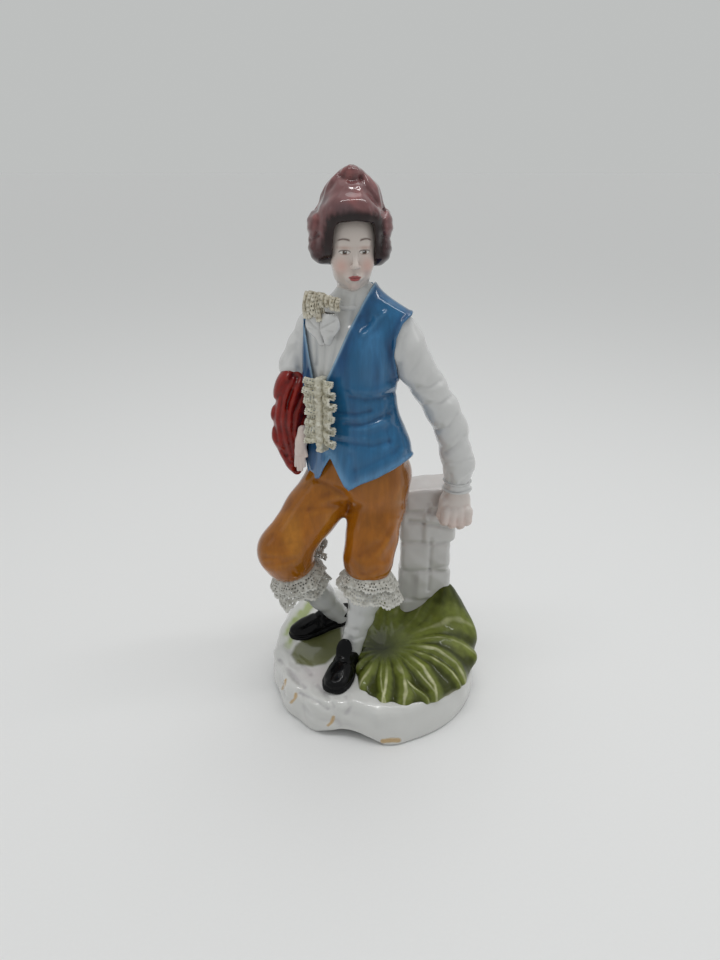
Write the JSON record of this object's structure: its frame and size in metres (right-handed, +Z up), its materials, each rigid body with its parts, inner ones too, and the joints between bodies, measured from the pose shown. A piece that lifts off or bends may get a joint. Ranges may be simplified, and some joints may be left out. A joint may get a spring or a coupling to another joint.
{
  "type": "porcelain figurine",
  "caption": "Glazed porcelain statuette of a standing period gentleman leaning one fist on a stone pillar, on an oval rocky base with a grass mound; rests on its foot ring.",
  "frame": {"origin": "centre of the underside of the base, on the surface that it stands on", "axes": "+Z up towards the head, -Y towards the figure's painted front, +X towards the pillar"},
  "size_m": [0.0891, 0.0837, 0.203],
  "materials": {
    "white_glaze": "gloss",
    "stone_glaze": "gloss",
    "grass_glaze": "gloss",
    "black_glaze": "gloss",
    "stocking_glaze": "gloss",
    "ochre_glaze": "gloss",
    "blue_glaze": "gloss",
    "red_glaze": "gloss",
    "hair_glaze": "gloss",
    "skin_glaze": "gloss",
    "lace_glaze": "satin"
  },
  "bodies": {
    "root": {"base_shell": "white_glaze", "grass_mound": "grass_glaze", "stone_pillar": "stone_glaze", "left_shoe": "black_glaze", "right_shoe": "black_glaze", "left_stocking": "stocking_glaze", "right_stocking": "stocking_glaze", "left_lace_upper": "lace_glaze", "left_lace_lower": "lace_glaze", "right_lace_upper": "lace_glaze", "right_lace_lower": "lace_glaze", "breeches_left_leg": "ochre_glaze", "breeches_right_leg": "ochre_glaze", "breeches_seat": "ochre_glaze", "waistcoat": "blue_glaze", "shirt_front": "white_glaze", "neck_stock": "white_glaze", "cravat_lace": "lace_glaze", "cravat_bow": "white_glaze", "jabot_band": "lace_glaze", "jabot_left_ruffle": "lace_glaze", "jabot_right_ruffle": "lace_glaze", "head": "skin_glaze", "hair": "hair_glaze", "left_sleeve": "white_glaze", "left_cuff": "white_glaze", "left_hand": "skin_glaze", "right_sleeve": "white_glaze", "right_hand": "skin_glaze", "cloak": "red_glaze"}
  },
  "joints": []
}
